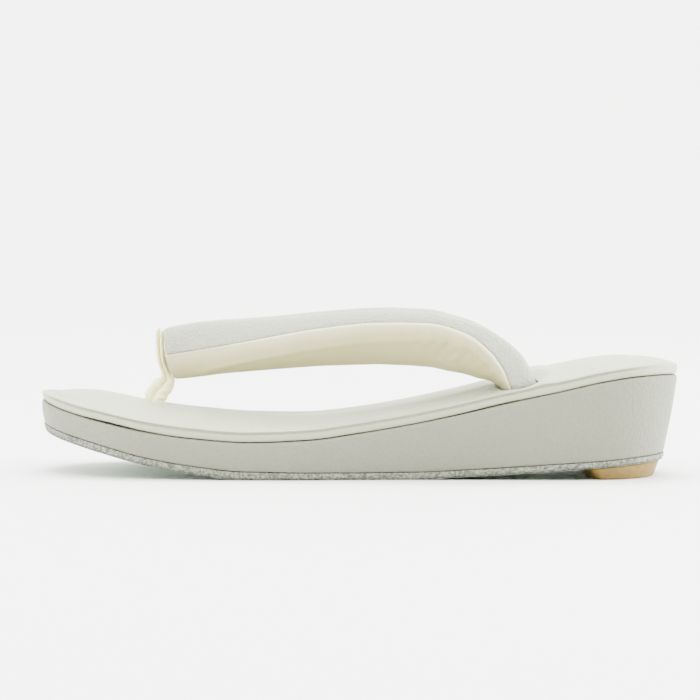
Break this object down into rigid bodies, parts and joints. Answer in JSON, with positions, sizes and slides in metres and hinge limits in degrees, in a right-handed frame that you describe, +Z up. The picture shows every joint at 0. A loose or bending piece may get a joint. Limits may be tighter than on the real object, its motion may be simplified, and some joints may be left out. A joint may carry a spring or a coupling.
{
  "type": "zori sandal",
  "caption": "Flat-topped Japanese zori sandal with a low leather-wrapped wedge sole, domed cover, padded two-tone thong straps and a beige rubber heel.",
  "frame": {"origin": "middle of the sandal's length and width, on the floor that it stands on", "axes": "+X from toe to heel, +Y to the wearer's left when the sandal is seen from the heel with +Z up, +Z up from the floor"},
  "size_m": [0.24, 0.0832, 0.0617],
  "materials": {
    "outsole": "suede, matt",
    "heel_rubber": "matt",
    "wedge_body": "pebbled",
    "top_cover": "fine grain",
    "strap_cover": "fine grain",
    "strap_lining": "soft, matt",
    "toe_loop": "soft, matt"
  },
  "bodies": {
    "root": {"outsole": "outsole", "heel_rubber": "heel_rubber", "wedge_body": "wedge_body", "top_cover": "top_cover", "strap_cover": "strap_cover", "strap_lining": "strap_lining", "toe_loop": "toe_loop"}
  },
  "joints": []
}
